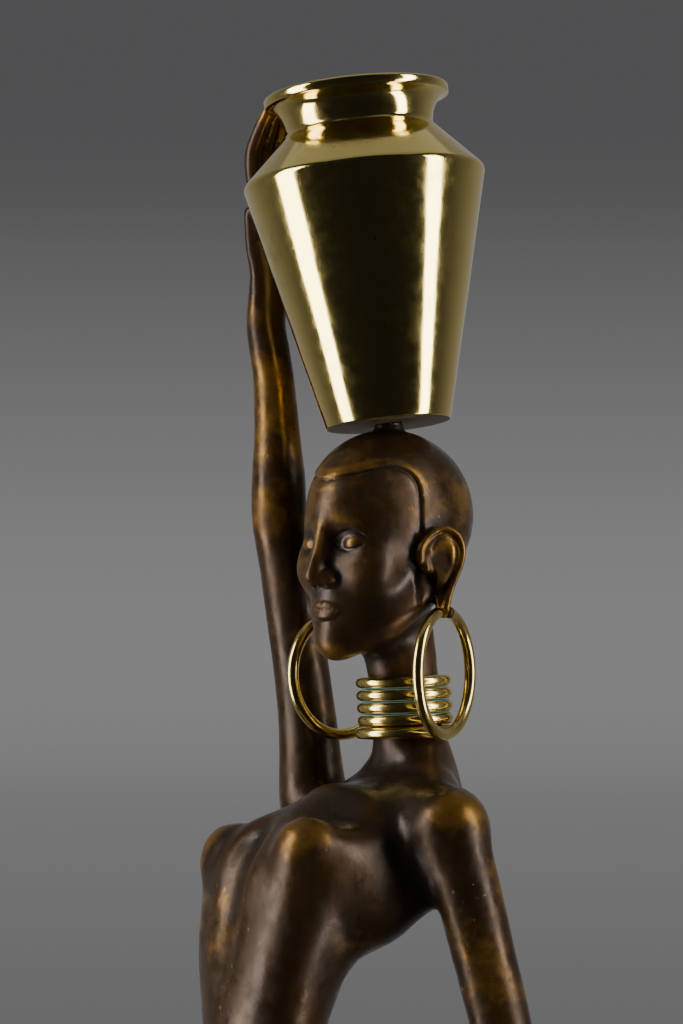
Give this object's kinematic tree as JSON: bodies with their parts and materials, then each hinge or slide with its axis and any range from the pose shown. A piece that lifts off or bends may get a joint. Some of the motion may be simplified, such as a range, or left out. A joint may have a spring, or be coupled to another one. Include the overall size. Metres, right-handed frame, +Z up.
{
  "type": "female figure sculpture",
  "caption": "Slender standing bronze woman in a long wrap, one arm raised to a brass vase on her head, with neck rings, hoop earrings and a low round base.",
  "frame": {"origin": "centre of the round base's underside", "axes": "+Z up, she faces -Y, her left side is +X"},
  "size_m": [0.21, 0.21, 1.2066],
  "materials": {
    "bronze": "dark brown patinated cast bronze, rubbed golden on the high points, semi-gloss",
    "polished_brass": "hand-polished brass with faint turning marks and small pits",
    "ring_brass": "polished brass rod",
    "base_bronze": "dark brown patinated bronze"
  },
  "bodies": {
    "root": {"figure": "bronze", "vase": "polished_brass", "neck_ring_1": "ring_brass", "neck_ring_2": "ring_brass", "neck_ring_3": "ring_brass", "neck_ring_4": "ring_brass", "neck_ring_5": "ring_brass", "hoop_earring_left": "ring_brass", "hoop_earring_right": "ring_brass", "base": "base_bronze"}
  },
  "joints": []
}
